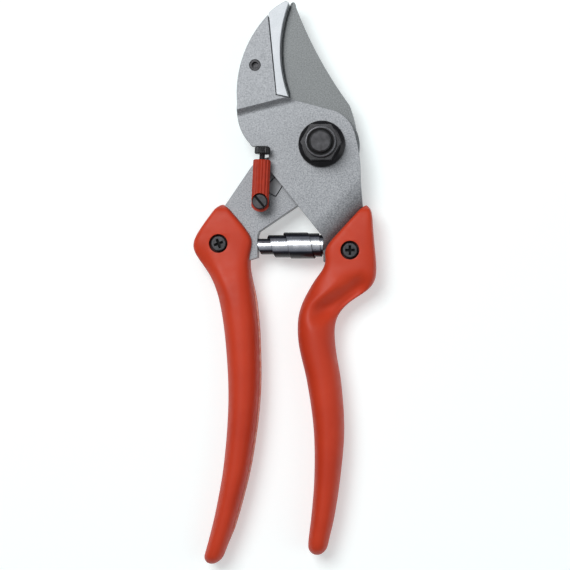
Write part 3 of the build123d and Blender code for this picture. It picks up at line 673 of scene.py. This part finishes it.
def make_grip(side, rows, arm):
    """One grip: a front and a back shell with a fine seam, hollowed for the tang, with the screw's recess."""
    for half, outward in (("front", 1), ("back", -1)):
        made = grip_body(side, rows, BACK_LIP if side == "left" and half == "back" else 0.0)
        trim(made, PARTING + SEAM * outward, -outward)
        bmesh.ops.recalc_face_normals(made, faces=made.faces)
        shell = as_object(f"{side}_grip_{half}_shell", made)
        cut_away(shell, bpy.data.objects[f"{arm}_finished"], discard=False)
        if half == "front":
            cut_away(shell, cylinder("recess", GRIP_SCREWS[side], RECESS_FLOOR[side], RECESS_OVER, RECESS_R))
        edge = shell.modifiers.new("eased edges", "BEVEL")
        edge.width = 0.18 * MM
        edge.segments = 2
        edge.limit_method = "ANGLE"
        edge.angle_limit = radians(45)
        finished(shell)
        smooth(shell, 50)
        node = f"{side}_grip_{half}"
        give(shell, "grip", BODY_OF[node], [node])
        if half == "front":
            screw = Vector(GRIP_SCREWS[side])
            floor_at = RECESS_FLOOR[side] + 0.05
            # painted shade: the floor and walls of the screw's recess take the dark recess material
            second_finish(shell, "recess", lambda at, up: (at.xy - screw).length < RECESS_R + 0.05
                          and (at.z < floor_at or abs(up.z) < 0.3))
        elif side == "left":
            # painted highlight: all of the flat where the shells meet, and its eased edge along the lip, take
            # the pale seam material
            second_finish(shell, "flash", lambda at, up: PARTING - 0.4 < at.z < PARTING and (
                up.z > 0.99 or up.z > 0.2 and LIP_TOP + LIP_GROWS / 2 - 1 < -at.y < LIP_END - LIP_FADES / 2
                and at.x > interpolated(rows, at.y)[1] - 1.5))


make_grip("left", LEFT_GRIP, "blade_arm")
make_grip("right", RIGHT_GRIP, "anvil_arm")


# ================================================================ lock: fluted sleeve and knurled thumb screw
def wire(tree, kind, settings=None, links=None, out=0):
    """Adds a node as put does, and returns one of its outputs."""
    return put(tree, kind, settings, links).outputs[out]


def sums(tree, operation, *values):
    """A Math node on numbers and sockets."""
    settings = {k: v for k, v in enumerate(values) if not isinstance(v, bpy.types.NodeSocket)}
    links = {k: v for k, v in enumerate(values) if isinstance(v, bpy.types.NodeSocket)}
    return wire(tree, "ShaderNodeMath", {"operation": operation, **settings}, links)


def ribbed_bar_tree():
    """Geometry Nodes: a round bar along Z with lengthways flutes, rings cut round it, and chamfered ends."""
    tree = bpy.data.node_groups.new("ribbed bar", "GeometryNodeTree")
    for name, kind in (
            ("Radius", "Float"), ("Length", "Float"), ("Flutes", "Int"), ("Flute depth", "Float"),
            ("Ring pitch", "Float"), ("Ring depth", "Float"), ("Chamfer", "Float"), ("Sides", "Int"),
            ("Steps", "Int"), ("Finish", "Material")):
        tree.interface.new_socket(name, in_out="INPUT", socket_type=f"NodeSocket{kind}")
    tree.interface.new_socket("Geometry", in_out="OUTPUT", socket_type="NodeSocketGeometry")
    given = tree.nodes.new("NodeGroupInput").outputs
    bar = wire(tree, "GeometryNodeMeshCylinder", {"fill_type": "NGON"}, {
        "Vertices": given["Sides"], "Side Segments": given["Steps"], "Radius": given["Radius"],
        "Depth": given["Length"]})
    place = wire(tree, "GeometryNodeInputPosition")
    x, y, z = put(tree, "ShaderNodeSeparateXYZ", None, {0: place}).outputs
    turn = sums(tree, "ARCTAN2", y, x)
    flute_turns = sums(tree, "MULTIPLY", turn, given["Flutes"])
    wave = sums(tree, "MULTIPLY_ADD", sums(tree, "COSINE", flute_turns), 0.5, 0.5)
    flute = sums(tree, "MULTIPLY", sums(tree, "POWER", wave, 2.0), given["Flute depth"])
    pitch_turns = sums(tree, "MULTIPLY", sums(tree, "DIVIDE", z, given["Ring pitch"]), tau)
    thread_turns = sums(tree, "SUBTRACT", pitch_turns, turn)
    swell = sums(tree, "MULTIPLY_ADD", sums(tree, "COSINE", thread_turns), 0.5, 0.5)
    ring = sums(tree, "MULTIPLY", swell, given["Ring depth"])
    to_end = sums(tree, "SUBTRACT", sums(tree, "MULTIPLY", given["Length"], 0.5), sums(tree, "ABSOLUTE", z))
    ends = sums(tree, "MAXIMUM", sums(tree, "SUBTRACT", given["Chamfer"], to_end), 0.0)
    taken = sums(tree, "DIVIDE", sums(tree, "ADD", sums(tree, "ADD", flute, ring), ends), given["Radius"])
    keep = sums(tree, "SUBTRACT", 1.0, taken)
    moved = wire(tree, "ShaderNodeCombineXYZ", None, {
        0: sums(tree, "MULTIPLY", x, keep), 1: sums(tree, "MULTIPLY", y, keep), 2: z})
    shaped = wire(tree, "GeometryNodeSetPosition", None, {"Geometry": bar, "Position": moved})
    whole = wire(tree, "GeometryNodeRealizeInstances", None, {"Geometry": shaped})
    coloured = wire(tree, "GeometryNodeSetMaterial", None, {"Geometry": whole, "Material": given["Finish"]})
    tree.links.new(coloured, put(tree, "NodeGroupOutput").inputs[0])
    return tree


RIBBED_BAR = ribbed_bar_tree()


def ribbed_bar(name, finish, ends, radius, flutes=0, flute_depth=0.0, pitch=1.0, ring_depth=0.0, chamfer=0.2,
               sides=168, steps=60):
    """A ribbed bar between two places on the lock sleeve's axis, in millimetres from the lock's pivot."""
    start, end = ends
    piece = new_object(name, bpy.data.meshes.new(name))
    shape = piece.modifiers.new("ribbed bar", "NODES")
    shape.node_group = RIBBED_BAR
    values = {
        "Radius": radius * MM, "Length": (end - start) * MM, "Flutes": flutes,
        "Flute depth": flute_depth * MM, "Ring pitch": pitch * MM, "Ring depth": ring_depth * MM,
        "Chamfer": chamfer * MM, "Sides": sides, "Steps": steps, "Finish": FINISHES[finish]}
    for item in RIBBED_BAR.interface.items_tree:
        if item.in_out == "INPUT":
            shape[item.identifier] = values[item.name]
    finished(piece)
    tilt = radians(LOCK_TILT)
    along = Vector((sin(tilt), cos(tilt), 0))
    middle = Vector((*LOCK_PIVOT, LOCK_LEVEL)) + along * (start + end) / 2
    turned = Vector((0, 0, 1)).rotation_difference(along).to_matrix().to_4x4()
    piece.data.transform(Matrix.Translation(middle * MM) @ turned)
    smooth(piece, 32)
    return piece


def sleeve_end_cutter():
    """What lies outside the sleeve's lower end, which is round about the lock's pivot."""
    made = bmesh.new()
    end_r = -SLEEVE[0]
    beyond = 9.0
    half_tall = 8.0
    outline = [(end_r * cos(turn), end_r * sin(turn)) for turn in (pi + pi * k / 40 for k in range(41))]
    outline += [(beyond, 0), (beyond, -beyond), (-beyond, -beyond), (-beyond, 0)]
    tilted = Matrix.Rotation(-radians(LOCK_TILT), 3, "Z")
    base = made.faces.new([made.verts.new(tilted @ Vector((x, y, -half_tall)) * MM) for x, y in outline])
    raised = bmesh.ops.extrude_face_region(made, geom=[base])["geom"]
    upper = [v for v in raised if isinstance(v, bmesh.types.BMVert)]
    bmesh.ops.translate(made, vec=Vector((0, 0, 2 * half_tall)) * MM, verts=upper)
    bmesh.ops.translate(made, vec=Vector((*LOCK_PIVOT, LOCK_LEVEL)) * MM, verts=made.verts)
    bmesh.ops.recalc_face_normals(made, faces=made.faces)
    return as_object("round_off", made)


def sleeve_top_cutter():
    """A block over the sleeve's lower end, which leaves room for the lock screw's head."""
    made = bmesh.new()
    tilt = radians(LOCK_TILT)
    below = 6.0
    middle = Vector((LOCK_PIVOT[0] - below * sin(tilt), LOCK_PIVOT[1] - below * cos(tilt), LOCK_LEVEL + 4.6))
    bmesh.ops.create_cube(made, size=1.0, matrix=Matrix.LocRotScale(
        middle * MM, Matrix.Rotation(-tilt, 3, "Z"), Vector((12.0, 12.0, 10.0)) * MM))
    return as_object("end_block", made)


sleeve = ribbed_bar(
    "lock_sleeve_fluted", "sleeve", SLEEVE, SLEEVE_R, flutes=14, flute_depth=0.36, chamfer=0.35)
cut_away(sleeve, sleeve_top_cutter())
cut_away(sleeve, sleeve_end_cutter())
cut_away(sleeve, cylinder("cut_out", LOCK_PIVOT, LOCK_LEVEL - 0.4, LOCK_LEVEL + 8, HEAD_CUT_R))
cut_away(sleeve, cylinder("pivot_hole", LOCK_PIVOT, LOCK_LEVEL - 8, LOCK_LEVEL + 8, PIVOT_HOLE_R))
smooth(sleeve, 32)
give(sleeve, "sleeve", "lock", ["lock_sleeve"])

head = ribbed_bar(
    "thumb_screw_head", "black", THUMB_HEAD, THUMB_HEAD_R, flutes=22, flute_depth=0.22, chamfer=0.3,
    sides=264, steps=16)
shank = ribbed_bar(
    "thumb_screw_thread", "dark", THUMB_THREAD, THUMB_THREAD_R, pitch=0.5, ring_depth=0.16, chamfer=0.1,
    sides=32, steps=200)
give(head, "black", "lock", ["lock_thumb_screw"])
give(shank, "dark", "lock", ["lock_thumb_screw"])


# ================================================================ double volute spring
def spring_turn(t):
    """The spring's strip at t turns from the middle: the x of its middle, its width and its radius."""
    u = abs(t)
    # turns get narrower and tighter towards both ends, in longer steps on the left than on the right
    width = SPRING_WIDE - 0.3 * u - 0.6 * u * u
    if t < 0:
        left = SPRING_ENDS[0] if u > 2 else max(-12.8 - 6.75 * u + 0.55 * u * u, SPRING_ENDS[0])
        return left + width / 2, width, SPRING_R - 0.65 * u - 0.2 * u * u
    right = min(-3.9 + 4.275 * u - 1.075 * u * u, SPRING_ENDS[1])
    return right - width / 2, width, SPRING_R - 0.65 * u


def volute_spring(around=72):
    """One flat strip wound outwards from the left end to the middle and inwards again to the right end."""
    made = bmesh.new()
    rings = []
    # the strip's section, with eased edges: places across it, and how far each is out from its middle
    corners = ((-1, 0), (-0.97, 1), (0.97, 1), (1, 0), (0.97, -1), (-0.97, -1))
    for step in range(round(2 * SPRING_TURNS * around) + 1):
        t = step / around - SPRING_TURNS
        centre, width, radius = spring_turn(t)
        turn = tau * t + pi / 2
        out = Vector((0, cos(turn), sin(turn)))
        ring = []
        for across, lift in corners:
            r = radius - SPRING_STRIP / 2 + SPRING_STRIP / 2 * lift
            point = Vector((centre + width / 2 * across, *SPRING_AXIS)) + out * r
            ring.append(made.verts.new(point * MM))
        rings.append(ring)
    for first, second in zip(rings, rings[1:]):
        for k in range(len(corners)):
            after = (k + 1) % len(corners)
            made.faces.new((first[k], second[k], second[after], first[after]))
    made.faces.new(rings[0])
    made.faces.new(list(reversed(rings[-1])))
    bmesh.ops.recalc_face_normals(made, faces=made.faces)
    piece = as_object("volute_spring_strip", made)
    smooth(piece, 30)
    piece.data.materials.append(FINISHES["spring"])
    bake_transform(piece)
    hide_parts("volute_spring")


volute_spring()

# ================================================================ floor, lights and camera
FLOOR_HALF = 1.5            # metres
FLOOR_GAP = 0.2             # the floor lies this far under the shears, in millimetres
SHEARS_MIDDLE = (-0.014, -0.052, 0.0)   # metres

paper = bmesh.new()
bmesh.ops.create_grid(paper, x_segments=1, y_segments=1, size=FLOOR_HALF)
floor = as_object("paper_floor", paper)
floor.location.z = -FLOOR_GAP * MM
floor.data.materials.append(studio_paper())

world = bpy.data.worlds.new("soft studio")
bpy.context.scene.world = world
world.use_nodes = True
sky = world.node_tree
sky_way = put(sky, "ShaderNodeTexCoord").outputs["Generated"]
upward = put(sky, "ShaderNodeSeparateXYZ", None, {0: sky_way}).outputs["Z"]
glow = ramp(sky, upward, [(0.0, "#5A5C5E"), (0.35, "#6E7072"), (0.75, "#B4B6B8"), (1.0, "#C8CACC")])
sky.links.new(glow, sky.nodes["Background"].inputs["Color"])
sky.nodes["Background"].inputs["Strength"].default_value = 0.75


def softbox(name, place, size, watts):
    """A rectangular area light pointed at the shears."""
    light = bpy.data.lights.new(name, "AREA")
    light.shape = "RECTANGLE"
    light.size = size[0]
    light.size_y = size[1]
    light.energy = watts
    lamp = bpy.data.objects.new(name, light)
    lamp.location = place
    lamp.rotation_euler = (Vector(SHEARS_MIDDLE) - Vector(place)).to_track_quat("-Z", "Y").to_euler()
    bpy.context.scene.collection.objects.link(lamp)


softbox("key, upper left", (-0.27, 0.3, 0.88), (0.45, 0.45), 6.4)
softbox("fill, right", (0.7, -0.1, 0.6), (0.5, 0.9), 1.2)

camera_data = bpy.data.cameras.new("camera")
camera_data.lens = 102.0
camera = bpy.data.objects.new("camera", camera_data)
camera.location = (0.029, -0.058, 0.611)
aim = Vector((-0.0139, -0.0521, 0.011))
backward = (camera.location - aim).normalized()
sideways = Vector((0, 1, 0)).cross(backward).normalized()
camera.rotation_euler = Matrix((sideways, backward.cross(sideways), backward)).transposed().to_euler()
bpy.context.scene.collection.objects.link(camera)
bpy.context.scene.camera = camera
bpy.context.scene.view_settings.view_transform = "Standard"
